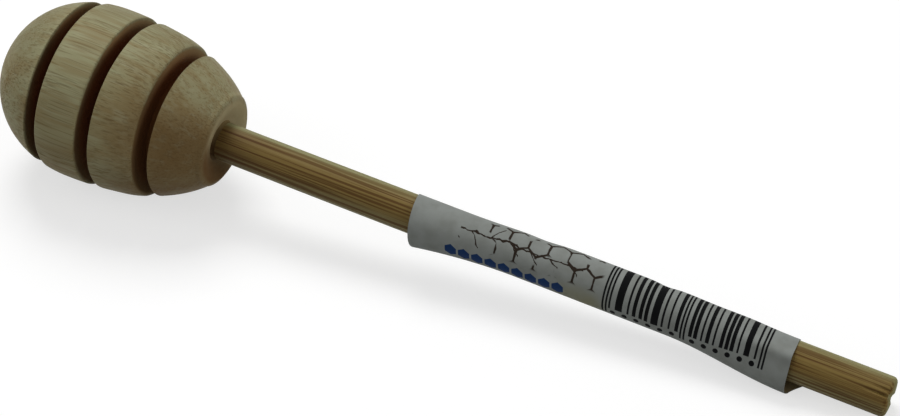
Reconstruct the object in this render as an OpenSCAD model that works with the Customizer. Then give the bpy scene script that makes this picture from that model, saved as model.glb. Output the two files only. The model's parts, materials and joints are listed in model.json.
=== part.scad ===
// Honey dipper: a turned wooden head with honey grooves, glued on a bamboo stick
// that carries a wrapped paper label. It lies on a table as it is put down: the
// head's belly and the free end of the stick touch z = 0, and the head points to -X.

/* [Head] */
// Length of the head, from its tip to the root of the rim round the stick
head_length = 37.2; // [36:0.1:39]
// Largest diameter of the head
head_diameter = 27.5; // [26:0.1:29]
// Distance from the tip to the widest place
belly_at = 15.8; // [14:0.1:17]
// Distance from the widest place to where the egg would close on the stick's side
handle_side = 25.1; // [25:0.1:28]
// Roundness of the egg: 2 is an ellipse, more is squarer
egg_power = 2.22; // [2:0.02:2.5]

/* [Grooves] */
// Number of honey grooves
groove_count = 3; // [1:1:3]
// Distance from the tip to the middle of the first groove
first_groove_at = 11.3; // [10.5:0.1:12]
// Spacing of the grooves along the head
groove_pitch = 9.15; // [8.8:0.05:9.4]
// Width of each groove
groove_width = 2.25; // [1.8:0.05:2.6]
// Diameter of the core that the grooves leave
core_diameter = 15; // [12:0.5:18]
// Edge break on the lips of the grooves
lip_break = 0.2; // [0.1:0.05:0.4]

/* [Rim and dish] */
// How far the rim rolls inwards from the egg's side to its crest
rim_roll = 0.65; // [0.4:0.05:1]
// Height of the crest over the root of the rim
rim_height = 0.75; // [0.4:0.05:1]
// Fall of the dish, from the crest to the mouth of the socket
dish_fall = 1; // [0.5:0.05:1.4]

/* [Socket and glue] */
// Depth of the socket below its mouth
socket_depth = 18; // [14:1:22]
// Thickness of the glue between stick and socket
glue_gap = 0.1; // [0.05:0.01:0.15]
// Glue left under the end of the stick
glue_bed = 0.4; // [0.2:0.1:1]
// Height of the bead of glue round the stick
bead_height = 0.7; // [0.3:0.1:1]

/* [Stick] */
// Length of the whole dipper along its axis
overall_length = 145; // [140:0.1:150]
// Diameter of the bare free end
stick_diameter = 6; // [5.8:0.05:6.2]
// Diameter at the head, where the bamboo stock runs a little thin
neck_diameter = 5.95; // [5.6:0.05:6]
// Bevel on the end in the socket
stick_bevel = 0.5; // [0.3:0.1:0.8]
// Rounding of the cut edge at the free end
cut_round = 0.35; // [0.2:0.05:0.5]
// Length of the split in the free end
split_length = 4; // [2:0.5:5]
// Width of the split at the cut
split_width = 0.25; // [0.15:0.05:0.4]
// Width of the chipped notch where the split meets the cut
notch_width = 1.1; // [0.6:0.1:1.4]
// Depth of that notch
notch_depth = 0.55; // [0.3:0.05:0.8]
// Direction of the split across the cut end, in degrees from the horizontal
split_angle = 136; // [110:1:150]

/* [Label] */
// Distance from the tip of the head to the start of the label
label_at = 70.4; // [68:0.2:72]
// Length of the label along the stick
label_length = 60; // [56:0.5:61]
// Thickness of the paper
paper = 0.1; // [0.08:0.01:0.15]
// How far the second layer covers the first, in steps of 10 degrees
overlap_steps = 8; // [3:1:12]
// How far the wrap wanders along the stick in one turn
label_skew = 1.2; // [0:0.1:2]
// Direction in which the ends of the label stand off the stick, in degrees
loose_angle = 226; // [210:1:235]
// How far the label stands off at the end near the head
loose_start = 1.4; // [0.2:0.05:1.5]
// How far it stands off at the end near the cut
loose_end = 1.6; // [0.2:0.05:1.9]
// Length of the loose stretch near the head
loose_start_length = 17; // [10:1:28]
// Length of the loose stretch near the cut
loose_end_length = 19; // [10:1:28]
// Direction of the slack along the middle, beside the free edge, in degrees
slack_angle = 46; // [30:1:60]
// How far the slack stands off
slack = 0.42; // [0:0.02:0.6]

/* [Hidden] */
$fn = 96;
head_r = head_diameter / 2;
stick_r = stick_diameter / 2;
neck_r = neck_diameter / 2;
socket_r = neck_r + glue_gap;
profile_steps = 52;
rim_steps = 6;
dish_steps = 8;
round_steps = 4;
tip_crowding = 1.4;
groove_overshoot = 0.6;
cut_overshoot = 0.1;
crest_at = head_length + rim_height;
mouth_at = crest_at - dish_fall;
socket_end = mouth_at - socket_depth;
stick_start = socket_end + glue_bed;
label_end = label_at + label_length;
bead_width = 0.5;
bead_hollow = 0.4;
adhesive = 0.02;
turn_step = 10;
wrap_steps = 360 / turn_step + overlap_steps;
seam_angle = 300;
upper_turn = 196;
label_stations = 26;
start_curl = 1.75;
curl_narrowness = 1.5;
slack_margin = 8;
slack_rise = 16;
table_gap = 0.2;
bare_gap = 0.5;
bare_at = label_end + label_skew * (wrap_steps * turn_step - upper_turn) / 360 + bare_gap;

// Radius of the egg at a distance from its tip
function egg_radius(at) =
    let(half = at < belly_at ? belly_at : handle_side)
    head_r * sqrt(max(0, 1 - pow(abs(at - belly_at) / half, egg_power)));

function groove_at(i) = first_groove_at + i * groove_pitch;

// Crest of the rim, and the dish that falls from it in a soft hollow to the socket
crest_r = egg_radius(head_length) - rim_roll;
function dish_at(part) = crest_at - dish_fall * (1 - cos(180 * part)) / 2;
dish_step = (crest_r - socket_r) / dish_steps;
mouth_slope = (dish_at(1 - 1 / dish_steps) - mouth_at) / dish_step;

// How far down the head and the free end reach when the axis is tilted
function in_groove(at) =
    len([for (i = [0:groove_count - 1]) if (abs(at - groove_at(i)) < groove_width / 2) i]) > 0;
function head_reach(tilt) =
    max([for (at = [0:0.1:head_length]) if (!in_groove(at)) at * sin(tilt) + egg_radius(at) * cos(tilt)]);
function end_reach(tilt) =
    (overall_length - cut_round) * sin(tilt) + (stick_r - cut_round) * cos(tilt) + cut_round;

// The tilt at which both touch the table, found by halving
function resting_tilt(low, high, rounds) =
    let(middle = (low + high) / 2)
    rounds == 0 ? middle
    : end_reach(middle) < head_reach(middle) ? resting_tilt(middle, high, rounds - 1)
    : resting_tilt(low, middle, rounds - 1);

tilt = resting_tilt(0, 10, 24);
axis_height = head_reach(tilt);
tip_x = min([for (at = [0:0.01:0.5]) at * cos(tilt) - egg_radius(at) * sin(tilt)]);
cut_x = (overall_length - cut_round) * cos(tilt) + (stick_r - cut_round) * sin(tilt) + cut_round;

// Lays down a piece that was drawn along +X with the tip of the head at the origin
module lay_down() {
    translate([-(tip_x + cut_x) / 2, 0, axis_height])
        rotate([0, tilt, 0])
            children();
}

// Turns an outline of [distance from the tip, radius] points about the dipper's axis
module turned(outline) {
    rotate([0, 90, 0])
        rotate_extrude()
            polygon([for (p = outline) [p[1], p[0]]]);
}

// Egg, rolled rim and dish, closed on the axis; points crowd together at the blunt tip
function egg_side() =
    [for (i = [0:profile_steps])
        let(at = head_length * pow(i / profile_steps, tip_crowding))
        [at, egg_radius(at)]];
function rim_side() =
    [for (i = [1:rim_steps])
        let(turn = 90 * i / rim_steps)
        [head_length + rim_height * sin(turn), crest_r + rim_roll * cos(turn)]];
function dish_side() =
    [for (i = [1:dish_steps])
        [dish_at(i / dish_steps), crest_r - dish_step * i]];

module egg_blank() {
    turned(concat(
        egg_side(),
        rim_side(),
        dish_side(),
        [[mouth_at, 0]]));
}

// One groove: a straight slot down to the core, with broken lips
module groove_cut(at) {
    low = at - groove_width / 2;
    high = at + groove_width / 2;
    core_r = core_diameter / 2;
    turned([
        [low, core_r],
        [low, egg_radius(low) - lip_break],
        [low - lip_break - groove_overshoot, egg_radius(low) + groove_overshoot],
        [high + lip_break + groove_overshoot, egg_radius(high) + groove_overshoot],
        [high, egg_radius(high) - lip_break],
        [high, core_r]]);
}

module dipper_head() {
    color("burlywood")
        lay_down()
            difference() {
                egg_blank();
                for (i = [0:groove_count - 1])
                    groove_cut(groove_at(i));
                translate([socket_end, 0, 0])
                    rotate([0, 90, 0])
                        cylinder(h = socket_depth + dish_fall, r = socket_r);
            }
}

// The free end is cut off with a rounded edge
function cut_edge() =
    [for (i = [0:round_steps])
        let(turn = 90 * i / round_steps)
        [overall_length - cut_round * (1 - sin(turn)), stick_r - cut_round * (1 - cos(turn))]];

// A split that closes towards the head, with a chipped notch at the cut
module split_cut() {
    reach = stick_diameter;
    rotate([split_angle - 90, 0, 0])
        translate([overall_length, 0, -reach])
            linear_extrude(height = 2 * reach) {
                wedge(split_length, split_width);
                wedge(notch_depth, notch_width);
            }
}

// A flat wedge that is as wide as given where it meets the cut
module wedge(depth, width) {
    polygon([
        [-depth, 0],
        [cut_overshoot, -width / 2],
        [cut_overshoot, width / 2]]);
}

module stick() {
    color("peru")
        lay_down()
            difference() {
                turned(concat(
                    [[stick_start, 0],
                     [stick_start, neck_r - stick_bevel],
                     [stick_start + stick_bevel, neck_r],
                     [mouth_at, neck_r],
                     [bare_at, stick_r]],
                    cut_edge(),
                    [[overall_length, 0]]));
                split_cut();
            }
}

// Radius of the stick at a distance from the tip of the head
function stick_radius(at) =
    at < mouth_at ? neck_r
    : at > bare_at ? stick_r
    : neck_r + (stick_r - neck_r) * (at - mouth_at) / (bare_at - mouth_at);

// The film of glue in the socket and the bead that was pressed out of it
module socket_glue() {
    bead_foot = mouth_at + mouth_slope * (bead_width - glue_gap);
    bead_top = mouth_at + bead_height;
    color("wheat")
        lay_down()
            turned([
                [socket_end, 0],
                [socket_end, socket_r],
                [mouth_at, socket_r],
                [bead_foot, neck_r + bead_width],
                [mouth_at + bead_height * bead_hollow, neck_r + bead_width * bead_hollow],
                [bead_top, stick_radius(bead_top)],
                [mouth_at, neck_r],
                [stick_start + stick_bevel, neck_r],
                [stick_start, neck_r - stick_bevel],
                [stick_start, 0]]);
}

// How far the paper stands off: full at each end of the label, and a little slack
// along the middle, on the other side
function clamp(x) = min(1, max(0, x));
function ease(x) = let(t = clamp(x)) t * t * (3 - 2 * t);
function loose_at(at) =
    loose_start * pow(1 - clamp((at - label_at) / loose_start_length), start_curl)
    + loose_end * (1 - ease((label_end - at) / loose_end_length));
function slack_at(at) =
    slack * ease((at - label_at - slack_margin) / slack_rise)
    * ease((label_end - slack_margin / 2 - at) / slack_rise);
function toward(angle, middle) = pow((1 + cos(angle - middle)) / 2, curl_narrowness);

// Radius of the paper's inner face: a spiral on the stick, lifted where it is loose,
// and kept off the table
function wrap_radius(at, turn) =
    let(
        angle = seam_angle + turn,
        snug = stick_radius(at) / cos(turn_step / 2) + adhesive + (paper + adhesive) * turn / 360,
        lift = loose_at(at) * toward(angle, loose_angle) + slack_at(at) * toward(angle, slack_angle),
        down = cos(tilt) * max(0.05, -sin(angle)),
        table = (axis_height - at * sin(tilt) - table_gap) / down - paper * (2 - turn / 360))
    max(snug, min(snug + lift, table));

// A ring of points for one station: the inner face out to the free edge and back
// along the outer face; the wrap is a little crooked, so the ring climbs along the stick
function wrap_ring(at) =
    let(
        inner = [for (j = [0:wrap_steps]) [j * turn_step, wrap_radius(at, j * turn_step)]],
        outer = [for (j = [wrap_steps:-1:0]) [inner[j][0], inner[j][1] + paper]])
    [for (p = concat(inner, outer))
        [at + label_skew * (p[0] - upper_turn) / 360,
         p[1] * cos(seam_angle + p[0]),
         p[1] * sin(seam_angle + p[0])]];

module paper_label() {
    ring_size = 2 * (wrap_steps + 1);
    last = label_stations * ring_size;
    points = [for (i = [0:label_stations]) each wrap_ring(label_at + label_length * i / label_stations)];
    sides = [for (i = [0:label_stations - 1], j = [0:ring_size - 1])
        let(a = i * ring_size + j, b = i * ring_size + (j + 1) % ring_size)
        each [[a, b, a + ring_size], [b, b + ring_size, a + ring_size]]];
    ends = [for (j = [0:wrap_steps - 1])
        let(back = ring_size - 1 - j)
        each [
            [j, back, j + 1],
            [back, back - 1, j + 1],
            [last + j, last + j + 1, last + back],
            [last + back, last + j + 1, last + back - 1]]];
    color("whitesmoke")
        lay_down()
            polyhedron(points = points, faces = concat(sides, ends));
}

dipper_head();
stick();
socket_glue();
paper_label();
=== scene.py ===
import json
from math import acos, asin, cos, degrees, exp, hypot, pi, radians, sin, sqrt

import bpy
from mathutils import Matrix, Vector


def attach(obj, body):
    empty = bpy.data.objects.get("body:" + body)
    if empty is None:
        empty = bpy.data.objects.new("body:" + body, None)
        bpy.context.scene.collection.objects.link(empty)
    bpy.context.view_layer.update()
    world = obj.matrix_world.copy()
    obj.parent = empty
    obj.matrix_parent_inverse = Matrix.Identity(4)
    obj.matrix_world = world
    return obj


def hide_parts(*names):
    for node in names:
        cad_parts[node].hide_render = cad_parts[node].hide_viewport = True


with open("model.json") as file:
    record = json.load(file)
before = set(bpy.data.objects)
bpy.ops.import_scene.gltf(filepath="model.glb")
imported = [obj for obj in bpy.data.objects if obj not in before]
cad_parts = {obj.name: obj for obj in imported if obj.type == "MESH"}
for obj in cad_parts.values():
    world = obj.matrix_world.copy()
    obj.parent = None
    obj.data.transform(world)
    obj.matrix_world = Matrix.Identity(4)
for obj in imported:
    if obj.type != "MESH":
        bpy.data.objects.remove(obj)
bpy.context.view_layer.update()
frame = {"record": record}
scene = bpy.context.scene
mm = 0.001
weld = 0.002 * mm  # points closer than this become one

# The mount lies on the dipper's axis, this far from the tip of the head
mountFromTip = 138.1815 * mm
stickEnd = frame["record"]["mounts"][0]
alongAxis = Vector(stickEnd["axis"]).normalized()
tip = Vector(stickEnd["pos_m"]) - alongAxis * mountFromTip
tilt = asin(-alongAxis.z)
layDown = Matrix.Translation(tip) @ Matrix.Rotation(tilt, 4, "Y")
axisHeight = tip.z / mm
print("frame loaded, the dipper leans", round(degrees(tilt), 2), "degrees")


# Every piece is drawn along X from the tip of the head, in millimetres, and laid down last

def deselectAll():
    if bpy.context.object and bpy.context.object.mode != "OBJECT":
        bpy.ops.object.mode_set(mode="OBJECT")
    bpy.ops.object.select_all(action="DESELECT")


def makeActive(piece):
    deselectAll()
    bpy.context.view_layer.objects.active = piece
    piece.select_set(True)


def pickVertices(piece, wanted):
    # selects in code, by place, and leaves the piece in edit mode
    makeActive(piece)
    bpy.ops.object.mode_set(mode="EDIT")
    bpy.ops.mesh.select_mode(type="VERT")
    bpy.ops.mesh.select_all(action="DESELECT")
    bpy.ops.object.mode_set(mode="OBJECT")
    for vertex in piece.data.vertices:
        vertex.select = wanted(vertex.co.x / mm, vertex.co.y / mm, vertex.co.z / mm)
    bpy.ops.object.mode_set(mode="EDIT")


def turnOutline(name, outline, steps):
    # draws [distance from the tip, radius] point by point and spins it round X, as on a lathe
    deselectAll()
    bpy.ops.mesh.primitive_plane_add(size=mm)
    piece = bpy.context.object
    piece.name = name
    bpy.ops.object.mode_set(mode="EDIT")
    bpy.ops.mesh.merge(type="CENTER")
    at, radius = outline[0]
    bpy.ops.transform.translate(value=(at * mm, 0, radius * mm))
    for nextAt, nextRadius in outline[1:]:
        step = ((nextAt - at) * mm, 0, (nextRadius - radius) * mm)
        bpy.ops.mesh.extrude_vertices_move(TRANSFORM_OT_translate={"value": step})
        at, radius = nextAt, nextRadius
    bpy.ops.mesh.select_all(action="SELECT")
    bpy.ops.mesh.spin(steps=steps, angle=2 * pi, center=(0, 0, 0), axis=(1, 0, 0))
    bpy.ops.mesh.select_all(action="SELECT")
    bpy.ops.mesh.remove_doubles(threshold=weld)
    bpy.ops.mesh.normals_make_consistent(inside=False)
    bpy.ops.object.mode_set(mode="OBJECT")
    return piece


def displace(piece, textureName, size, strength, midLevel, group=""):
    texture = bpy.data.textures.new(textureName, "CLOUDS")
    texture.noise_scale = size * mm
    modifier = piece.modifiers.new(textureName, "DISPLACE")
    modifier.texture = texture
    modifier.texture_coords = "LOCAL"
    modifier.mid_level = midLevel
    modifier.strength = strength * mm
    modifier.vertex_group = group
    bpy.ops.object.modifier_apply(modifier=modifier.name)


def finishPiece(piece, material, node, smoothAngle=35):
    makeActive(piece)
    piece.data.materials.append(material)
    bpy.ops.object.shade_smooth_by_angle(angle=radians(smoothAngle))
    piece.matrix_world = layDown
    bpy.ops.object.transform_apply(location=True, rotation=True, scale=True)
    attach(piece, "root")
    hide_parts(node)
    print(piece.name, "finished,", len(piece.data.polygons), "faces")


# Node helpers: put adds a node to a tree, add finds the tree from the sockets it is given, calc
# adds a math node, and each of the others does one small sum

def put(tree, kind, inputs=None, **settings):
    node = tree.nodes.new("ShaderNode" + kind)
    for name, value in settings.items():
        setattr(node, name, value)
    for name, value in (inputs or {}).items():
        if isinstance(value, bpy.types.NodeSocket):
            tree.links.new(value, node.inputs[name])
        else:
            node.inputs[name].default_value = value
    return node


def add(kind, inputs, **settings):
    tree = next(value.id_data for value in inputs.values()
                if isinstance(value, bpy.types.NodeSocket))
    return put(tree, kind, inputs, **settings)


def calc(operation, first, second=0.0):
    return add("Math", {0: first, 1: second}, operation=operation).outputs[0]


def times(first, second):
    return calc("MULTIPLY", first, second)


def plus(first, second):
    return calc("ADD", first, second)


def minus(first, second):
    return calc("SUBTRACT", first, second)


def larger(first, second):
    return calc("MAXIMUM", first, second)


def oneMinus(value):
    return calc("SUBTRACT", 1.0, value)


def distance(first, second):
    squares = plus(calc("POWER", first, 2.0), calc("POWER", second, 2.0))
    return calc("SQRT", squares)


def vectorMath(operation, first, second=(0, 0, 0)):
    return add("VectorMath", {0: first, 1: second}, operation=operation)


def towards(place, direction):
    # how far the place lies in that direction
    return vectorMath("DOT_PRODUCT", place, direction).outputs["Value"]


def scaled(place, factor):
    return add("VectorMath", {0: place, "Scale": factor}, operation="SCALE").outputs[0]


def noise(place, scale, detail=2):
    return add("TexNoise", {"Vector": place, "Scale": scale, "Detail": detail}).outputs[0]


def smoothBetween(value, low, high):
    return add("MapRange", {"Value": value, "From Min": low, "From Max": high},
               interpolation_type="SMOOTHSTEP").outputs[0]


def blendColors(amount, first, second):
    return add("Mix", {0: amount, 6: first, 7: second}, data_type="RGBA").outputs[2]


def roundTheAxis(angle, lengthwise=0.0):
    # a direction across the dipper, from level at 0 to straight up at 90
    return (lengthwise, cos(radians(angle)), sin(radians(angle)))


def rgb(red, green, blue):
    # the linear colour of what a picture shows as 0 to 255
    parts = [part / 255 for part in (red, green, blue)]
    return [part / 12.92 if part < 0.04045 else ((part + 0.055) / 1.055) ** 2.4
            for part in parts] + [1]


def startMaterial(name):
    material = bpy.data.materials.new(name)
    material.use_nodes = True
    tree = material.node_tree
    tree.nodes.clear()
    shader = put(tree, "BsdfPrincipled")
    output = put(tree, "OutputMaterial")
    tree.links.new(shader.outputs[0], output.inputs[0])
    return material, tree, shader


def finishShader(shader, surface, color, rougher, height):
    shader.inputs["Specular IOR Level"].default_value = surface["specular"]
    bump = add("Bump", {
        "Height": height, "Strength": surface["bump"], "Distance": surface["relief"] * mm})
    for value, name in ((color, "Base Color"), (bump.outputs[0], "Normal"),
                        (plus(surface["roughness"], rougher), "Roughness")):
        shader.id_data.links.new(value, shader.inputs[name])


def dipperPlace(tree):
    # millimetres along the dipper's axis and across it
    turnBack = Matrix.Rotation(-tilt, 4, "Y")
    where = put(tree, "TexCoord")
    return add("Mapping", {
        "Vector": where.outputs["Object"],
        "Location": -(turnBack @ tip) / mm,
        "Rotation": (0, -tilt, 0),
        "Scale": (1 / mm, 1 / mm, 1 / mm),
    }).outputs[0]


def stretched(place, scale, offset=(0, 0, 0)):
    return add("Mapping", {"Vector": place, "Scale": scale, "Location": offset}).outputs[0]


def startGroup(name, numbers):
    # a group that takes a place and some numbers and answers with one mask
    group = bpy.data.node_groups.new(name, "ShaderNodeTree")

    def addSocket(label, side, kind):
        return group.interface.new_socket(name=label, in_out=side, socket_type="NodeSocket" + kind)

    addSocket("Place", "INPUT", "Vector")
    for label, value in numbers.items():
        addSocket(label, "INPUT", "Float").default_value = value
    addSocket("Mask", "OUTPUT", "Float")
    return group, group.nodes.new("NodeGroupInput"), group.nodes.new("NodeGroupOutput")


def useGroup(group, place, **numbers):
    node = put(place.id_data, "Group", node_tree=group)
    place.id_data.links.new(place, node.inputs["Place"])
    for label, value in numbers.items():
        node.inputs[label].default_value = value
    return node.outputs[0]


# Long thin marks along the dipper: pores and streaks in the head, fibres in the bamboo
longMarks, start, end = startGroup(
    "longMarks", {"Length": 3, "Width": 0.3, "Low": 0.5, "High": 0.6})
perWidth = calc("DIVIDE", 1.0, start.outputs["Width"])
perLength = calc("DIVIDE", 1.0, start.outputs["Length"])
scale = add("CombineXYZ", {0: perLength, 1: perWidth, 2: perWidth}).outputs[0]
place = vectorMath("MULTIPLY", start.outputs["Place"], scale).outputs[0]
marks = add("TexNoise", {"Vector": place, "Scale": 1, "Detail": 2, "Roughness": 0.45}).outputs[0]
mask = smoothBetween(marks, start.outputs["Low"], start.outputs["High"])
longMarks.links.new(mask, end.inputs[0])

# Large soft patches of another tone
softPatches, start, end = startGroup("softPatches", {"Size": 8, "Low": 0.4, "High": 0.7})
scale = calc("DIVIDE", 1.0, start.outputs["Size"])
marks = add("TexNoise", {
    "Vector": start.outputs["Place"], "Scale": scale, "Detail": 2, "Roughness": 0.5,
    "Distortion": 0.4}).outputs[0]
mask = smoothBetween(marks, start.outputs["Low"], start.outputs["High"])
softPatches.links.new(mask, end.inputs[0])
print("node groups made")


# The head: an egg with three sawn grooves, a round rim, a dish and the socket for the stick

headSetup = {
    "length": 37.2,
    "radius": 13.75,
    "bellyAt": 15.8,
    "handleSide": 25.1,
    "power": 2.22,
    "grooves": [(11.3, 2.05), (20.45, 2.25), (29.6, 2.25)],  # middle and width
    "coreRadius": 7.5,
    "lip": 0.25,
    "corner": 0.3,
    "rimRoll": 1.2,
    "rimHeight": 0.75,
    "dishFall": 0.85,
    "socketEnd": 18.95,
    "socketRadius": 3.075,
    "swell": (26.8, 2.2, 0.13),  # sanded a little full here: place, half width, height
    "tipSteps": 18,
    "tipCrowding": 1.7,  # the blunt tip needs closer points
    "landSteps": 11,
    "rimSteps": 8,
    "dishSteps": 14,
    "spinSteps": 180,
    "uneven": (9, 0.12, 0.75),  # sanded by hand: width of the waves, height, middle
    "fullDepth": 5,  # grooveDepth is 1 from here down; the grooves' painted shade is set against it
    "surface": {"specular": 0.09, "roughness": 0.55, "bump": 0.35, "relief": 0.12},
    "colors": {
        "pale": rgb(152, 149, 114),
        "light": rgb(166, 164, 132),
        "tan": rgb(144, 124, 84),
        "brown": rgb(130, 110, 70),
        "pore": rgb(96, 76, 46),
        # painted shade in the grooves: on the walls, the lower walls and the bottoms
        "wall": rgb(144, 112, 74),
        "lowWallShade": rgb(92, 66, 40),
        "groove": rgb(112, 66, 36),
        # painted shade and painted light on the end grain in the dish
        "dishShade": rgb(98, 70, 40),
        "dishLightTint": rgb(172, 158, 122),
        # darker near the handle, and painted shade on the lower side and underside
        "handEndAndUnderShade": rgb(94, 70, 38),
        # painted shade, a little grey, on the upper side and the tip
        "topShade": rgb(116, 110, 80),
    },
    # growth rings round a pith well outside the head, so they cut the egg in long arcs
    "rings": {
        "pith": (0.0, 31.0, -9.0),
        "spacing": 3.4,
        "waver": 7.0,
        "heartWaver": 9.0,
        "rise": (0.35, 0.85),  # the late wood darkens slowly and ends at once
        "fall": (0.88, 1.0),
    },
    # each mark's size in millimetres and where its noise begins and is full
    "marks": {
        "patches": {"Size": 6.5, "Low": 0.45, "High": 0.68},
        "streaks": {"Length": 12, "Width": 0.5, "Low": 0.47, "High": 0.68},
        "pores": {"Length": 3.6, "Width": 0.22, "Low": 0.5, "High": 0.66},
        "poreZones": {"Size": 5, "Low": 0.38, "High": 0.62},
        "hairs": {"Length": 20, "Width": 0.26, "Low": 0.54, "High": 0.68},
        "lightStreaks": {"Length": 9, "Width": 0.9, "Low": 0.5, "High": 0.72},
    },
    # how much of its colour each mark gives
    "strength": {
        "lateWood": 0.35,
        "patches": 0.45,
        "lightStreaks": 0.4,
        "streaks": 0.42,
        "hairs": 0.4,
        "pores": 0.32,
        "wallShade": 0.9,
        "upperShade": 0.42,
        "tip": 0.5,
        "dishLight": 0.7,
        "shadeAndStain": 0.8,
        "hand": (0.24, 0.42),  # at least this, and more on the lower side
        "below": (0.3, 0.6),  # at least this, and more near the hand
        "nearStickShade": 0.3,
    },
    # two directions across the head, and where each tint begins and is full, in millimetres
    "zones": {
        "heartSide": roundTheAxis(158, 0.55),
        "topSide": (0, 0.72, 0.69),
        "heart": (28.0, 35.0),
        "wallLight": (2.0, 9.0),
        "wallShade": (0.02, 0.16),  # these two are parts of the full depth
        "bottom": (0.12, 0.6),
        "toHand": (22.0, 33.0),
        "under": (-4.0, 3.0),
        "underside": (7.0, 11.5),
        "upperShade": (8.0, 13.5),
        "tip": (5.0, 12.0),
        "tipTop": (-3.0, 3.0),
        "end": (36.2, 36.6),
        "endEdge": (6.2, 7.2),
        "nearStickShade": (2.5, 6.0),
        "lowSide": (0.0, 5.0),
    },
}


def eggRadius(at):
    half = headSetup["bellyAt"] if at < headSetup["bellyAt"] else headSetup["handleSide"]
    inside = 1 - (abs(at - headSetup["bellyAt"]) / half) ** headSetup["power"]
    swellAt, swellWidth, swell = headSetup["swell"]
    return (headSetup["radius"] * sqrt(max(0.0, inside))
            + swell * exp(-((at - swellAt) / swellWidth) ** 2))


def landOutline(first, last, steps, crowding):
    # the egg's own surface from one place to another
    return [(at, eggRadius(at)) for at in
            (first + (last - first) * (i / steps) ** crowding for i in range(steps + 1))]


def grooveSide(edge, outward):
    # one lip and wall of a groove, from the egg's surface down to the core
    lip, corner, core = headSetup["lip"], headSetup["corner"], headSetup["coreRadius"]
    side = []
    for turn in (30, 60, 90):
        angle = radians(turn)
        side.append((edge + outward * (lip - lip * sin(angle)),
                     eggRadius(edge) - lip + lip * cos(angle)))
    wall = eggRadius(edge) - lip - core - corner
    side += [(edge, core + corner + wall * part) for part in (0.75, 0.5, 0.25, 0)]
    side += [(edge - outward * corner * 0.3, core + corner * 0.3), (edge - outward * corner, core)]
    return side


def headOutline():
    shape = headSetup
    outline = []
    landStart, steps, crowding = 0.0, shape["tipSteps"], shape["tipCrowding"]
    for middle, width in shape["grooves"]:
        low, high = middle - width / 2, middle + width / 2
        outline += landOutline(landStart, low - shape["lip"], steps, crowding)
        outline += grooveSide(low, -1) + [(middle, shape["coreRadius"])]
        outline += reversed(grooveSide(high, 1))
        landStart, steps, crowding = high + shape["lip"], shape["landSteps"], 1.0
    outline += landOutline(landStart, shape["length"], steps, crowding)
    crestRadius = eggRadius(shape["length"]) - shape["rimRoll"]
    for i in range(1, shape["rimSteps"] + 1):
        angle = pi / 2 * i / shape["rimSteps"]
        outline.append((shape["length"] + shape["rimHeight"] * sin(angle),
                        crestRadius + shape["rimRoll"] * cos(angle)))
    crest = shape["length"] + shape["rimHeight"]
    for i in range(1, shape["dishSteps"] + 1):
        part = i / shape["dishSteps"]
        outline.append((crest - shape["dishFall"] * (1 - cos(pi * part)) / 2,
                        crestRadius + (shape["socketRadius"] - crestRadius) * part))
    mouth = crest - shape["dishFall"]
    for at in (mouth - 3, shape["socketEnd"] + 4, shape["socketEnd"]):
        outline.append((at, shape["socketRadius"]))
    outline.append((shape["socketEnd"], 0.0))
    return outline


def markGrooves(piece):
    # how deep each vertex lies under the egg's surface, from 0 to 1 at the full depth
    shape = headSetup
    depths = piece.data.attributes.new("grooveDepth", "FLOAT", "POINT")
    for vertex in piece.data.vertices:
        at = vertex.co.x / mm
        radius = hypot(vertex.co.y, vertex.co.z) / mm
        inHead = 0 < at < shape["grooves"][-1][0] + 3 and radius > shape["coreRadius"] - 0.5
        depth = eggRadius(at) - radius if inHead else 0.0
        depths.data[vertex.index].value = min(1.0, max(0.0, depth / shape["fullDepth"]))


def grainColor(place, waver, toHeart):
    rings, zones, tints = [headSetup[name] for name in ("rings", "zones", "colors")]
    fromPith = add("SeparateXYZ", {0: stretched(place, (0.05, 1, 1), rings["pith"])})
    fromPith = distance(fromPith.outputs[1], fromPith.outputs[2])
    phase = plus(fromPith, times(waver, rings["waver"]))
    phase = calc("FRACT", calc("DIVIDE", phase, rings["spacing"]))
    lateWood = times(smoothBetween(phase, *rings["rise"]),
                     oneMinus(smoothBetween(phase, *rings["fall"])))

    def mark(name, group, marksPlace):
        return useGroup(group, marksPlace, **headSetup["marks"][name])

    # each kind of mark reads another part of the noise
    patches = mark("patches", softPatches, stretched(place, (0.45, 1, 1)))
    streaks = mark("streaks", longMarks, place)
    poreZones = mark("poreZones", softPatches, stretched(place, (0.5, 1, 1), (40, 10, 0)))
    pores = times(mark("pores", longMarks, place), poreZones)
    hairs = mark("hairs", longMarks, stretched(place, (1, 1, 1), (0, 50, 20)))
    lightStreaks = mark("lightStreaks", longMarks, stretched(place, (1, 1, 1), (30, 0, 60)))

    # the side turned from nearer the heart of the tree is browner than the other
    heartEdge = plus(toHeart, times(waver, rings["heartWaver"]))
    color = blendColors(smoothBetween(heartEdge, *zones["heart"]), tints["pale"], tints["tan"])
    for name, mask, tint in (("lateWood", lateWood, "brown"), ("patches", patches, "brown"),
                             ("lightStreaks", lightStreaks, "light"), ("streaks", streaks, "brown"),
                             ("hairs", hairs, "pore"), ("pores", pores, "pore")):
        color = blendColors(times(mask, headSetup["strength"][name]), color, tints[tint])
    return color, pores


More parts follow.
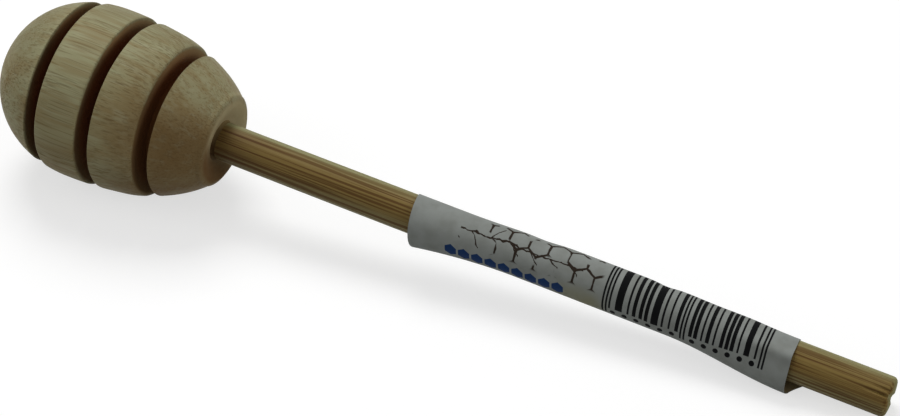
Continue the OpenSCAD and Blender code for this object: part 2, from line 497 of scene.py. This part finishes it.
def makeHeadWood():
    material, tree, shader = startMaterial("paleTurnedWood")
    zones, tints, strength = [headSetup[name] for name in ("zones", "colors", "strength")]

    def between(value, name):
        return smoothBetween(value, *zones[name])

    place = dipperPlace(tree)
    axes = add("SeparateXYZ", {0: place})
    at = axes.outputs[0]
    toTop = towards(place, zones["topSide"])
    toLow = times(toTop, -1.0)
    waver = noise(stretched(place, (0.05, 0.14, 0.14)), 1, 3)
    color, pores = grainColor(place, waver, towards(place, zones["heartSide"]))

    # painted shade in the grooves: on the walls, with less of it near the top of the head where the
    # light falls, and more at the bottoms
    depth = put(tree, "Attribute", attribute_name="grooveDepth").outputs["Fac"]
    inGroove = between(depth, "wallShade")
    wall = blendColors(between(toTop, "wallLight"), tints["lowWallShade"], tints["wall"])
    color = blendColors(times(inGroove, strength["wallShade"]), color, wall)
    color = blendColors(between(depth, "bottom"), color, tints["groove"])

    # darker towards the handle end, with painted shade on its lower side, and painted shade on the
    # underside, most of it near the hand
    toHand = between(at, "toHand")
    least, more = strength["hand"]
    handEndAndUnderShade = times(toHand, plus(least, times(between(toLow, "under"), more)))
    least, more = strength["below"]
    below = times(between(toLow, "underside"), plus(least, times(toHand, more)))
    color = blendColors(larger(handEndAndUnderShade, below), color, tints["handEndAndUnderShade"])

    # and painted shade, a little grey, on the upper side and on the top of the tip
    upperShade = times(between(toTop, "upperShade"), strength["upperShade"])
    atTip = times(oneMinus(between(at, "tip")), between(toTop, "tipTop"))
    topAndTipShade = larger(upperShade, times(atTip, strength["tip"]))
    color = blendColors(topAndTipShade, color, tints["topShade"])

    # painted shade on the end grain in the dish, most of it near the stick and on its lower side,
    # and painted light on the rest of the dish
    fromStick = distance(axes.outputs[1], axes.outputs[2])
    onEnd = times(between(at, "end"), oneMinus(between(fromStick, "endEdge")))
    nearStickShade = times(oneMinus(between(fromStick, "nearStickShade")), strength["nearStickShade"])
    lowSide = between(toLow, "lowSide")
    shadeAndStain = times(onEnd, larger(nearStickShade, lowSide))
    dishLight = times(onEnd, oneMinus(lowSide))
    color = blendColors(times(dishLight, strength["dishLight"]), color, tints["dishLightTint"])
    color = blendColors(times(shadeAndStain, strength["shadeAndStain"]), color, tints["dishShade"])

    rough = times(larger(pores, larger(inGroove, onEnd)), 0.4)
    turnedLines = add("TexWave", {
        "Vector": place, "Scale": 0.9, "Distortion": 1.0, "Detail": 1},
        wave_type="BANDS", bands_direction="X").outputs["Fac"]
    fibres = noise(stretched(place, (0.5, 4, 4)), 1, 4)
    height = plus(times(fibres, 0.5), times(turnedLines, 0.12))
    height = minus(height, times(pores, 0.6))
    finishShader(shader, headSetup["surface"], color, rough, height)
    return material


head = turnOutline("turnedHead", headOutline(), headSetup["spinSteps"])
markGrooves(head)
makeActive(head)
displace(head, "sandedByHand", *headSetup["uneven"])
finishPiece(head, makeHeadWood(), "dipper_head")


# The stick: bamboo with a fibrous surface, cut off square and split at the free end

stickSetup = {
    "start": 19.35,
    "bevel": 0.5,
    "neckRadius": 2.975,
    "neckEnd": 36.95,
    "radius": 3.0,
    "bareFrom": 131.713,
    "end": 144.9,
    "cutRound": 0.7,
    "cutRings": (2.1, 1.7, 1.3, 0.9, 0.5, 0.0),
    "ringStep": 0.8,
    "spinSteps": 192,
    "squeeze": 1 / 36,
    "fibres": (0.55, 0.05, 0.5),  # width, height, middle
    "fibreFade": 1.5,
    "splitAngle": 136,
    "notchDepth": 0.35,
    "notchSize": 0.8,
    "notchWidth": 0.16,
    # how far back from the cut, and how deep there
    "splitSteps": [(0.0, 0.5), (0.9, 0.34), (1.8, 0.24), (2.7, 0.16), (3.5, 0.08)],
    "crackAngle": 119,
    "crackSteps": [(0.0, 0.25), (0.9, 0.18), (1.6, 0.08)],
    "stepLength": 0.95,
    "crackWidth": 0.06,
    "crackSoft": 0.3,
    "crackFloor": 2.2,  # both stay outside this radius
    "surface": {"specular": 0.13, "roughness": 0.5, "bump": 0.35, "relief": 0.1},
    "colors": {
        "straw": rgb(149, 148, 106),
        "gold": rgb(128, 100, 49),
        "fibre": rgb(78, 50, 20),
        "olive": rgb(122, 116, 70),
        "under": rgb(126, 120, 82),
        # painted shade where the stick goes into the head
        "socketShade": rgb(70, 48, 22),
    },
    "marks": {
        "bundles": {"Length": 24, "Width": 0.34, "Low": 0.44, "High": 0.62},
        "fine": {"Length": 9, "Width": 0.14, "Low": 0.4, "High": 0.7},
        "broad": {"Length": 40, "Width": 1.3, "Low": 0.35, "High": 0.7},
        "tone": {"Size": 5, "Low": 0.4, "High": 0.65},
    },
    # two directions across the stick, and where each tint begins and is full, in millimetres
    "zones": {
        "underSide": roundTheAxis(212),
        "denseSide": roundTheAxis(148),
        "dense": (0.3, 2.9),
        "under": (1.5, 2.8),
        "socket": (37.0, 50.0),
        "cut": (144.2, 144.7),
    },
}


def stickRadius(at):
    shape = stickSetup
    part = min(1.0, max(0.0, (at - shape["neckEnd"]) / (shape["bareFrom"] - shape["neckEnd"])))
    return shape["neckRadius"] + (shape["radius"] - shape["neckRadius"]) * part


def stickOutline():
    shape = stickSetup
    outline = [(shape["start"], 0.0), (shape["start"], shape["neckRadius"] - shape["bevel"]),
               (shape["start"] + shape["bevel"], shape["neckRadius"])]
    sideStart = shape["start"] + shape["bevel"]
    sideEnd = shape["end"] - shape["cutRound"]
    count = round((sideEnd - sideStart) / shape["ringStep"])
    for i in range(1, count + 1):
        at = sideStart + (sideEnd - sideStart) * i / count
        outline.append((at, stickRadius(at)))
    for turn in (22, 45, 67, 90):
        angle = radians(turn)
        outline.append((sideEnd + shape["cutRound"] * sin(angle),
                        shape["radius"] - shape["cutRound"] * (1 - cos(angle))))
    return outline + [(shape["end"], radius) for radius in shape["cutRings"]]


def sideGroup(piece):
    # full on the sides, nothing on the cut end, so the fibres' relief fades out there
    group = piece.vertex_groups.new(name="sides")
    for vertex in piece.data.vertices:
        left = stickSetup["end"] - stickSetup["cutRound"] - vertex.co.x / mm
        full = min(1.0, max(0.0, left / stickSetup["fibreFade"]))
        group.add([vertex.index], full, "REPLACE")


def scaleLengthwise(piece, factor):
    pickVertices(piece, lambda x, y, z: True)
    bpy.ops.transform.resize(value=(factor, 1, 1), center_override=(0, 0, 0))
    bpy.ops.object.mode_set(mode="OBJECT")


def openSplit(piece):
    # the cut end is pulled in along the split, and the split runs up both sides as a thin crack
    shape = stickSetup
    split = roundTheAxis(shape["splitAngle"])[1:]
    crack = roundTheAxis(shape["crackAngle"])[1:]

    def offLine(line, y, z):
        return abs(z * line[0] - y * line[1])

    pickVertices(piece, lambda x, y, z: x > shape["end"] - 0.02
                 and offLine(split, y, z) < shape["notchWidth"])
    bpy.ops.transform.translate(
        value=(-shape["notchDepth"] * mm, 0, 0), use_proportional_edit=True,
        proportional_edit_falloff="SMOOTH", proportional_size=shape["notchSize"] * mm)
    for line, steps, bothSides in ((split, shape["splitSteps"], True),
                                   (crack, shape["crackSteps"], False)):
        for back, depth in steps:
            last = shape["end"] - back
            pickVertices(piece, lambda x, y, z: last - shape["stepLength"] < x <= last + 0.01
                         and offLine(line, y, z) < shape["crackWidth"]
                         and hypot(y, z) > shape["crackFloor"]
                         and (bothSides or y * line[0] + z * line[1] > 0))
            scale = 1 - depth / shape["radius"]
            bpy.ops.transform.resize(
                value=(1, scale, scale), center_override=(shape["end"] * mm, 0, 0),
                use_proportional_edit=True, proportional_edit_falloff="SHARP",
                proportional_size=shape["crackSoft"] * mm)
    bpy.ops.object.mode_set(mode="OBJECT")


def makeBamboo():
    material, tree, shader = startMaterial("bamboo")
    tints, zones, marks = [stickSetup[name] for name in ("colors", "zones", "marks")]
    place = dipperPlace(tree)
    at = add("SeparateXYZ", {0: place}).outputs[0]

    bundles = useGroup(longMarks, place, **marks["bundles"])
    fine = useGroup(longMarks, place, **marks["fine"])
    broad = useGroup(longMarks, place, **marks["broad"])
    tone = useGroup(softPatches, stretched(place, (0.12, 1, 1)), **marks["tone"])

    # fibres lie close together on the side that was under the skin of the cane
    toDense = plus(towards(place, zones["denseSide"]), times(broad, 0.6))
    dense = smoothBetween(toDense, *zones["dense"])
    under = smoothBetween(towards(place, zones["underSide"]), *zones["under"])
    nearSocket = oneMinus(smoothBetween(at, *zones["socket"]))

    color = blendColors(times(broad, 0.4), tints["straw"], tints["olive"])
    color = blendColors(dense, color, tints["gold"])
    color = blendColors(times(tone, 0.3), color, tints["olive"])
    color = blendColors(times(under, 0.7), color, tints["under"])
    color = blendColors(times(fine, 0.28), color, tints["fibre"])
    strength = plus(0.22, times(dense, 0.55))
    # painted shade where the stick goes into the head: darker fibres and a brown tint
    strength = plus(strength, times(nearSocket, 0.3))
    color = blendColors(times(bundles, strength), color, tints["fibre"])
    shadeAndStain = times(nearSocket, plus(0.06, times(dense, 0.44)))
    color = blendColors(shadeAndStain, color, tints["socketShade"])

    onCut = smoothBetween(at, *zones["cut"])
    rough = larger(times(bundles, 0.2), times(onCut, 0.4))
    height = plus(times(bundles, -0.6), times(fine, -0.5))
    finishShader(shader, stickSetup["surface"], color, rough, height)
    return material


stick = turnOutline("bambooStick", stickOutline(), stickSetup["spinSteps"])
sideGroup(stick)
# squeezed lengthwise while it is displaced, so the fibres come out long when it is let go
scaleLengthwise(stick, stickSetup["squeeze"])
displace(stick, "fibres", *stickSetup["fibres"], "sides")
scaleLengthwise(stick, 1 / stickSetup["squeeze"])
openSplit(stick)
finishPiece(stick, makeBamboo(), "stick", 50)


# The glue: a film in the socket and the small bead that came out round the stick

glueSetup = {
    "mouth": 36.95,
    "beadHeight": 0.7,
    "beadWidth": 0.5,
    "beadFoot": (0.05, 0.01),  # along and across, kept free of the wood and the stick
    "beadSteps": 6,
    "spinSteps": 96,
    "surface": {"specular": 0.05, "roughness": 0.6, "bump": 0.3, "relief": 0.1},
    "patches": {"Size": 1.6, "Low": 0.35, "High": 0.65},
    "clear": rgb(128, 110, 72),
    "dark": rgb(60, 42, 22),
    # the side of the bead that gets painted shade, and how it spreads
    "shadedSide": roundTheAxis(190),
    "crescentShade": (-1.5, 2.5),
}


def glueOutline():
    # the film fills what the socket leaves free round the stick
    shape = glueSetup
    bottom, outer = headSetup["socketEnd"], headSetup["socketRadius"]
    stickStart, inner, bevel = [stickSetup[name] for name in ("start", "neckRadius", "bevel")]
    mouth, (foot, gap) = shape["mouth"], shape["beadFoot"]
    outline = [(bottom, 0.0), (bottom, outer), (mouth, outer)]
    # a hollow bead, steep at the stick and flat on the wood
    for i in range(shape["beadSteps"] + 1):
        part = i / shape["beadSteps"]
        outline.append((mouth + foot + (shape["beadHeight"] - foot) * part ** 1.8,
                        inner + gap + (shape["beadWidth"] - gap) * (1 - part) ** 1.5))
    return outline + [(mouth, inner), (stickStart + bevel, inner), (stickStart, inner - bevel),
                      (stickStart, 0.0)]


def makeGlue():
    material, tree, shader = startMaterial("driedGlue")
    shape, place = glueSetup, dipperPlace(tree)
    patches = useGroup(softPatches, place, **shape["patches"])
    # painted shade on one side of the bead, beside the stick
    crescentShade = times(smoothBetween(towards(place, shape["shadedSide"]), *shape["crescentShade"]), 0.8)
    color = blendColors(plus(crescentShade, times(patches, 0.2)), shape["clear"], shape["dark"])
    finishShader(shader, shape["surface"], color, times(patches, 0.25), patches)
    return material


glue = turnOutline("glueBead", glueOutline(), glueSetup["spinSteps"])
finishPiece(glue, makeGlue(), "socket_glue")


# The label: a sheet of paper wrapped once and a fifth round the stick, loose at both ends

labelSetup = {
    "at": 70.4,
    "length": 60.0,
    "paper": 0.1,
    "adhesive": 0.02,
    "turns": 440,  # degrees from the covered edge to the free edge
    "seam": 300,  # direction of the covered edge
    "skew": 1.2,  # climbs this far along the stick in a turn
    "upperTurn": 196,
    "looseAngle": 226,  # where the ends stand off
    "looseStart": 1.4,
    "looseStartLength": 17,
    "startCurl": 1.75,
    "looseEnd": 1.6,
    "looseEndLength": 19,
    "slackAngle": 46,  # where the middle is slack
    "slack": 0.42,
    "slackMargin": 8,
    "slackRise": 16,
    # small creases in the slack: millimetres from the start, half length, height
    "creases": [(20.5, 2.5, -0.18), (39.5, 1.6, -0.2), (52.5, 4.0, 0.2)],
    # the start is cut a little askew: moved by this much, and by this much more in a turn
    "startCut": 0.2,
    "startSlant": 2.4,
    "slantTurns": 300,  # up to this turn
    # the far side sticks out at the other end: by how much, from which turn and over how many
    # degrees, then where it falls back, over how many degrees and by what part
    "endSlant": 2.0,
    "slantRise": (284, 56),
    "slantFall": (350, 90, 0.7),
    "flapPower": 5.0,  # how flat the paper hangs at that end, on the near side
    "farPower": 1.5,  # and on the far side
    "ridge": (130, 18, 0.7, 13),  # soft fold there: direction, half width, height, length
    "tableGap": 0.2,
    "clearAngle": 5,  # facets of the paper up to twice this wide stay off the stick
    "alongCuts": 150,
    "roundCuts": 110,
    "topCut": 27,  # the paper's length round the stick is counted from this cut
    "surface": {"specular": 0.06, "roughness": 0.6, "bump": 0.25, "relief": 0.03},
    "colors": {
        "paper": rgb(139, 143, 139),
        "shade": rgb(127, 130, 125),
        "black": rgb(9, 10, 11),
        "blue": rgb(8, 44, 88),
        "brown": rgb(40, 30, 22),
        "shadeAndStain": rgb(134, 131, 100),
        "inside": rgb(166, 148, 112),  # yellow with the light that comes through
    },
    # the print: chance bars, six-sided cells and a twig, which stand for nothing. Its places
    # are in millimetres of paper, along the stick and round it
    "print": {
        "tone": (0.35, 0.75),
        "stainAlong": (25.0, 31.0, 2.5),  # first, last and softness
        "stainAcross": (6.8, 12.0, 1.2),
        "inside": (0.5, 1.5),
        "edge": 0.04,  # softness of the ink's edges
        "barsFrom": 31.28,
        "barStep": 25.1 / 95,
        "barsTop": -3.0,
        "barsTo": 7.9,
        "guardsTo": 9.0,
        "barsLift": 0.05,  # how much their lower edge climbs along the stick
        "barsLevel": 37.0,  # and from where it is counted
        "dotDrop": 0.75,
        "dotRadius": 0.42,
        "rowMiddle": 8.1,
        "rowPitch": 2.15,
        "rowSize": 0.92,
        "rowSpan": (6.0, 25.3),
        "combSize": 3.1,
        "combAlong": (12.0, 30.6, 0.3),  # first, last and softness
        "combAcross": (0.6, 6.4, 0.2),
        "twigAt": 4.0,
        "twigSway": 0.9,
        "twigThick": 0.26,
        "twigSpan": (8.0, 27.5),
        "sprigPitch": 3.1,
        "sprigLength": 1.6,
    },
    # the bars are counted in steps: two fields of chance bars with thin long bars round them
    "bars": {
        "fields": (3.0, 92.0),
        "middle": 47.5,
        "gap": (45.0, 50.0),
        "gapSteps": 5.0,
        "fieldSteps": 7.0,
        "firstWidth": 1.1,
        "secondFrom": 3.9,
        "secondWidth": 1.2,
        "guards": (0.0, 2.0, 46.0, 48.0, 92.0, 94.0),
        "guardWidth": 1.1,
    },
}


def clamp(x):
    return min(1.0, max(0.0, x))


def easeIn(x):
    return clamp(x) ** 2 * (3 - 2 * clamp(x))


def toward(angle, middle, power=1.5):
    return ((1 + cos(angle - radians(middle))) / 2) ** power


def flapLift(angle):
    shape = labelSetup
    far = sin(angle - radians(shape["looseAngle"])) > 0
    return toward(angle, shape["looseAngle"], shape["farPower"] if far else shape["flapPower"])


def foldHeight(angle, fromEnd):
    middle, half, height, length = labelSetup["ridge"]
    off = degrees(acos(cos(angle - radians(middle))))
    return height * exp(-(off / half) ** 2) * (1 - easeIn(fromEnd / length))


def tableRadius(at, turn):
    # how far out the paper may go there without touching the table
    down = cos(tilt) * max(0.05, -sin(radians(labelSetup["seam"] + turn)))
    return ((axisHeight - at * sin(tilt) - labelSetup["tableGap"]) / down
            - labelSetup["paper"] * (2 - turn / 360))


def wrapRadius(at, turn):
    # how far the paper is from the axis: snug on the stick, and higher where it is loose
    shape = labelSetup
    fromStart = at - shape["at"]
    fromEnd = shape["length"] - fromStart
    curl = (1 - clamp(fromStart / shape["looseStartLength"])) ** shape["startCurl"]
    looseEnd = shape["looseEnd"] * (1 - easeIn(fromEnd / shape["looseEndLength"]))
    slack = (shape["slack"] * easeIn((fromStart - shape["slackMargin"]) / shape["slackRise"])
             * easeIn((fromEnd - shape["slackMargin"] / 2) / shape["slackRise"]))
    for place, half, height in shape["creases"]:
        slack += height * exp(-((fromStart - place) / half) ** 2)
    angle = radians(shape["seam"] + turn)
    snug = (stickRadius(at) / cos(radians(shape["clearAngle"])) + shape["adhesive"]
            + (shape["paper"] + shape["adhesive"]) * turn / 360)
    lift = (shape["looseStart"] * curl * toward(angle, shape["looseAngle"])
            + looseEnd * flapLift(angle)
            + slack * toward(angle, shape["slackAngle"]) + foldHeight(angle, fromEnd))
    return max(snug, min(snug + lift, tableRadius(at, turn)))


def paperRound(at):
    # millimetres of paper from the top of the stick round to every cut of the sheet
    shape = labelSetup
    step = shape["turns"] / shape["roundCuts"]
    reach = [0.0]
    for cut in range(shape["roundCuts"]):
        radius = wrapRadius(at, (cut + 0.5) * step) + shape["paper"] / 2
        reach.append(reach[-1] + radius * radians(step))
    return [length - reach[shape["topCut"]] for length in reach]


def shiftAlong(u, turn):
    # the sheet climbs as it is wound, and its two ends aren't cut square
    shape = labelSetup
    climb = shape["skew"] * (turn - shape["upperTurn"]) / 360
    cutTurn = clamp(turn / shape["slantTurns"]) * shape["slantTurns"]
    startCut = shape["startCut"] + shape["startSlant"] * (cutTurn - shape["upperTurn"]) / 360
    riseFrom, riseTurns = shape["slantRise"]
    fallFrom, fallTurns, fallPart = shape["slantFall"]
    endCut = (shape["endSlant"] * easeIn((turn - riseFrom) / riseTurns)
              * (1 - fallPart * easeIn((turn - fallFrom) / fallTurns)))
    # the cuts are felt in the first quarter and the last fifth of the sheet
    return climb + startCut * (1 - clamp(u * 4)) ** 2 + endCut * clamp(u * 5 - 4) ** 2


def wrapLabel(piece):
    # winds the flat sheet on: its U runs along the stick and its V round it. Afterwards U and V
    # hold the paper's own measure in decimetres, so the print isn't stretched where it is loose
    shape = labelSetup
    layer = piece.data.uv_layers.active.data
    flat = {}
    for loop in piece.data.loops:
        flat[loop.vertex_index] = layer[loop.index].uv.copy()
    rounds = [paperRound(shape["at"] + shape["length"] * i / shape["alongCuts"])
              for i in range(shape["alongCuts"] + 1)]
    for vertex in piece.data.vertices:
        u, v = flat[vertex.index]
        at, turn = shape["at"] + shape["length"] * u, shape["turns"] * v
        radius = wrapRadius(at, turn)
        angle = radians(shape["seam"] + turn)
        at += shiftAlong(u, turn)
        radius = min(radius, tableRadius(at, turn)) + shape["paper"] / 2
        vertex.co = (at * mm, radius * cos(angle) * mm, radius * sin(angle) * mm)
    for loop in piece.data.loops:
        u, v = flat[loop.vertex_index]
        paper = rounds[round(u * shape["alongCuts"])][round(v * shape["roundCuts"])]
        layer[loop.index].uv = (u * shape["length"] / 100, paper / 100)


def within(value, low, high, soft=0.0):
    # 1 between the two limits and 0 outside them, with edges this soft
    if soft == 0.0:
        return times(calc("GREATER_THAN", value, low), calc("LESS_THAN", value, high))
    return times(smoothBetween(value, low - soft, low + soft),
                 oneMinus(smoothBetween(value, high - soft, high + soft)))


def chance(number):
    draw = add("TexWhiteNoise", {"W": number}, noise_dimensions="1D").outputs["Color"]
    return add("SeparateColor", {0: draw}).outputs


def printBars(along, across):
    # two bars of chance place and width in every seven steps, with longer thin ones at the ends
    shape, count = labelSetup["print"], labelSetup["bars"]
    lift = times(minus(along, shape["barsLevel"]), shape["barsLift"])
    across = plus(across, lift)
    step = calc("DIVIDE", minus(along, shape["barsFrom"]), shape["barStep"])
    afterMiddle = calc("GREATER_THAN", step, count["middle"])
    field = minus(step, count["fields"][0])
    field = minus(field, times(afterMiddle, count["gapSteps"]))
    field = calc("DIVIDE", field, count["fieldSteps"])
    inField = calc("FRACT", field)
    inStep = times(inField, count["fieldSteps"])
    draw = chance(calc("FLOOR", field))
    first, second, third = [calc("ROUND", draw[i]) for i in range(3)]
    firstEnd = plus(first, plus(count["firstWidth"], second))
    secondBar = plus(count["secondFrom"], third)
    secondEnd = plus(secondBar, plus(count["secondWidth"], first))
    bars = larger(within(inStep, first, firstEnd), within(inStep, secondBar, secondEnd))
    inFields = minus(within(step, *count["fields"]), within(step, *count["gap"]))
    short = within(across, shape["barsTop"], shape["barsTo"], shape["edge"])
    tall = within(across, shape["barsTop"], shape["guardsTo"], shape["edge"])
    bars = times(times(bars, inFields), short)
    for guard in count["guards"]:
        longBar = within(step, guard, guard + count["guardWidth"])
        bars = larger(bars, times(longBar, tall))
    # a row of small dots under them
    dotAlong = times(minus(inField, 0.5), count["fieldSteps"] * shape["barStep"])
    dotAcross = minus(across, shape["barsTo"] + shape["dotDrop"])
    fromDot = distance(dotAlong, dotAcross)
    dots = times(calc("LESS_THAN", fromDot, shape["dotRadius"]), inFields)
    return larger(bars, dots)


def printRow(along, across):
    # a row of filled six-sided cells
    shape = labelSetup["print"]
    size, edge = shape["rowSize"], shape["edge"]
    place = calc("DIVIDE", minus(along, shape["rowSpan"][0]), shape["rowPitch"])
    sideways = calc("ABSOLUTE", minus(calc("FRACT", place), 0.5))
    sideways = times(sideways, shape["rowPitch"])
    upright = calc("ABSOLUTE", minus(across, shape["rowMiddle"]))
    # the slanting sides face 60 degrees round
    slanted = plus(times(sideways, 0.5), times(upright, 0.866))
    outward = larger(sideways, slanted)
    cells = oneMinus(smoothBetween(outward, size - edge, size + edge))
    return times(cells, within(along, *shape["rowSpan"]))


def printComb(sheet, along, across):
    # outlines of six-sided cells, thick and thin, with some of them missing
    shape = labelSetup["print"]
    high = sqrt(3)  # rows of cells repeat after this many widths of one
    place = scaled(sheet, 1 / shape["combSize"])
    nearest = []
    for shift in (40.0, 40.5):  # two sets of cells, both moved well above zero
        moved = vectorMath("ADD", place, (shift, shift * high, 0)).outputs[0]
        wrapped = vectorMath("MODULO", moved, (1.0, high, 1.0)).outputs[0]
        centred = vectorMath("SUBTRACT", wrapped, (0.5, high / 2, 0)).outputs[0]
        nearest.append((vectorMath("ABSOLUTE", centred).outputs[0],
                        vectorMath("LENGTH", centred).outputs["Value"]))
    closer = calc("LESS_THAN", nearest[0][1], nearest[1][1])
    chosen = add("Mix", {0: closer, 4: nearest[1][0], 5: nearest[0][0]},
                 data_type="VECTOR").outputs[1]
    slanted = towards(chosen, (0.5, high / 2, 0))
    sideways = add("SeparateXYZ", {0: chosen}).outputs[0]
    fromEdge = minus(0.5, larger(slanted, sideways))
    thick = times(noise(sheet, 0.9), 0.09)
    lines = oneMinus(smoothBetween(fromEdge, thick, plus(thick, 0.025)))
    zone = times(within(along, *shape["combAlong"]), within(across, *shape["combAcross"]))
    present = smoothBetween(noise(sheet, 0.32, 1), 0.42, 0.47)
    return times(lines, times(zone, present))


def printTwig(sheet, along, across):
    # a long wavering twig with short side sprigs
    shape = labelSetup["print"]
    sway = times(noise(sheet, 0.45), 2 * shape["twigSway"])
    height = minus(across, plus(shape["twigAt"] - shape["twigSway"], sway))
    thick = times(noise(sheet, 2.2), shape["twigThick"])
    stem = calc("LESS_THAN", calc("ABSOLUTE", height), thick)
    place = calc("DIVIDE", along, shape["sprigPitch"])
    draw = chance(calc("FLOOR", place))
    fromFoot = times(minus(calc("FRACT", place), 0.15), shape["sprigPitch"])
    side = minus(times(calc("ROUND", draw[0]), 2.0), 1.0)
    climb = times(fromFoot, plus(0.6, draw[1]))
    offSprig = calc("ABSOLUTE", minus(times(height, side), climb))
    sprigs = times(calc("LESS_THAN", offSprig, thick),
                   within(fromFoot, 0.0, shape["sprigLength"]))
    return times(larger(stem, sprigs), within(along, *shape["twigSpan"]))


def makeLabelPaper():
    material, tree, shader = startMaterial("labelPaper")
    tints, shape = labelSetup["colors"], labelSetup["print"]
    sheet = scaled(put(tree, "TexCoord").outputs["UV"], 100.0)
    split = add("SeparateXYZ", {0: sheet})
    along, across = split.outputs[0], split.outputs[1]

    tone = noise(sheet, 0.35, 3)
    fibre = noise(sheet, 9, 3)
    color = blendColors(smoothBetween(tone, *shape["tone"]), tints["paper"], tints["shade"])
    color = blendColors(times(fibre, 0.12), color, tints["shade"])
    glued = times(within(along, *shape["stainAlong"]), within(across, *shape["stainAcross"]))
    glued = times(glued, plus(0.2, tone))
    color = blendColors(glued, color, tints["shadeAndStain"])

    # the inks are a little worn where the paper is rough
    wear = plus(0.86, times(fibre, 0.24))
    lessWear = plus(wear, 0.05)
    brown = larger(printComb(sheet, along, across), printTwig(sheet, along, across))
    blue = printRow(along, across)
    bars = printBars(along, across)
    color = blendColors(times(brown, wear), color, tints["brown"])
    color = blendColors(times(blue, wear), color, tints["blue"])
    color = blendColors(times(bars, lessWear), color, tints["black"])

    # no print on the side that faces the stick, which gets a yellow painted light instead
    outward = vectorMath("MULTIPLY", dipperPlace(tree), (0, 1, 1)).outputs[0]
    facing = towards(put(tree, "NewGeometry").outputs["Normal"], outward)
    inside = smoothBetween(times(facing, -1.0), *shape["inside"])
    color = blendColors(times(inside, lessWear), color, tints["inside"])

    rough = times(larger(bars, brown), 0.2)
    finishShader(shader, labelSetup["surface"], color, rough, fibre)
    return material


deselectAll()
bpy.ops.mesh.primitive_grid_add(
    x_subdivisions=labelSetup["alongCuts"], y_subdivisions=labelSetup["roundCuts"],
    size=1, calc_uvs=True)
label = bpy.context.object
label.name = "wrappedLabel"
wrapLabel(label)
makeActive(label)
thickness = label.modifiers.new("paperThickness", "SOLIDIFY")
thickness.thickness = labelSetup["paper"] * mm
thickness.offset = 0
bpy.ops.object.modifier_apply(modifier=thickness.name)
bpy.ops.object.mode_set(mode="EDIT")
bpy.ops.mesh.select_all(action="SELECT")
bpy.ops.mesh.normals_make_consistent(inside=False)
bpy.ops.object.mode_set(mode="OBJECT")
finishPiece(label, makeLabelPaper(), "paper_label", 50)


# Floor, light and camera

stageSetup = {
    "floor": rgb(176, 176, 176),
    "floorPatches": rgb(168, 168, 168),
    "floorRadius": 4,
    "floorGlow": 0.64,
    "worldLight": 0.26,
    "softboxes": {  # place, power and size
        "keyLight": ((-0.3, 0.38, 0.85), 5.6, 0.5),
        "endLight": ((0.95, -0.02, 0.36), 2.4, 0.5),
        "fillLight": ((-0.6, -0.5, 0.45), 1.0, 0.7),
    },
}

cameraSetup = {
    "azimuth": 25.84,
    "elevation": 39.77,
    "lens": 100,
    "sensor": 36,
    "clipStart": 0.01,
    "axisPointFromTip": 43.9,
    "seenAt": (-28.75, -8.01, 378.35),  # that point from the camera: right, down and ahead
}


def seenDirectly(tree):
    # 1 for what the camera sees, itself or in a reflection, and 0 for what only gives light
    ray = put(tree, "LightPath")
    return larger(ray.outputs["Is Camera Ray"], ray.outputs["Is Glossy Ray"])


def makeFloor():
    deselectAll()
    bpy.ops.mesh.primitive_circle_add(
        vertices=96, radius=stageSetup["floorRadius"], fill_type="NGON")
    floor = bpy.context.object
    floor.name = "floor"
    material = bpy.data.materials.new("paleFloor")
    material.use_nodes = True
    tree = material.node_tree
    tree.nodes.clear()
    grain = noise(put(tree, "TexCoord").outputs["Object"], 30)
    color = blendColors(times(grain, 0.05), stageSetup["floor"], stageSetup["floorPatches"])
    diffuse = add("BsdfDiffuse", {"Color": color})
    glow = put(tree, "Emission", {"Strength": stageSetup["floorGlow"]})
    both = add("AddShader", {0: diffuse.outputs[0], 1: glow.outputs[0]})
    mixed = add("MixShader", {
        0: seenDirectly(tree), 1: diffuse.outputs[0], 2: both.outputs[0]})
    add("OutputMaterial", {0: mixed.outputs[0]})
    floor.data.materials.append(material)


def makeWorld():
    world = bpy.data.worlds.new("studio")
    scene.world = world
    world.use_nodes = True
    tree = world.node_tree
    tree.nodes.clear()
    white = (1, 1, 1, 1)
    light = put(tree, "Background", {"Color": white, "Strength": stageSetup["worldLight"]})
    backdrop = put(tree, "Background", {"Color": white, "Strength": 1.0})
    mixed = add("MixShader", {
        0: seenDirectly(tree), 1: light.outputs[0], 2: backdrop.outputs[0]})
    add("OutputWorld", {0: mixed.outputs[0]})


def addSoftbox(name, place, power, size):
    lamp = bpy.data.lights.new(name, "AREA")
    lamp.shape = "SQUARE"
    lamp.size = size
    lamp.energy = power
    box = bpy.data.objects.new(name, lamp)
    box.location = place
    box.rotation_euler = (-Vector(place)).to_track_quat("-Z", "Y").to_euler()
    scene.collection.objects.link(box)


def makeCamera():
    shape = cameraSetup
    azimuth, elevation = radians(shape["azimuth"]), radians(shape["elevation"])
    right = Vector((cos(azimuth), sin(azimuth), 0))
    back = Vector((sin(azimuth) * cos(elevation),
                   -cos(azimuth) * cos(elevation), sin(elevation)))
    up = back.cross(right)
    across, down, ahead = [value * mm for value in shape["seenAt"]]
    place = layDown @ Vector((shape["axisPointFromTip"] * mm, 0, 0))
    place = place - right * across + up * down + back * ahead
    camera = bpy.data.objects.new("camera", bpy.data.cameras.new("camera"))
    turned = Matrix((right, up, back)).transposed().to_4x4()
    camera.matrix_world = Matrix.Translation(place) @ turned
    camera.data.lens = shape["lens"]
    camera.data.sensor_width = shape["sensor"]
    camera.data.clip_start = shape["clipStart"]
    scene.collection.objects.link(camera)
    scene.camera = camera


makeFloor()
makeWorld()
for name, (place, power, size) in stageSetup["softboxes"].items():
    addSoftbox(name, place, power, size)
makeCamera()
scene.view_settings.view_transform = "Standard"
print("floor, lights and camera placed")
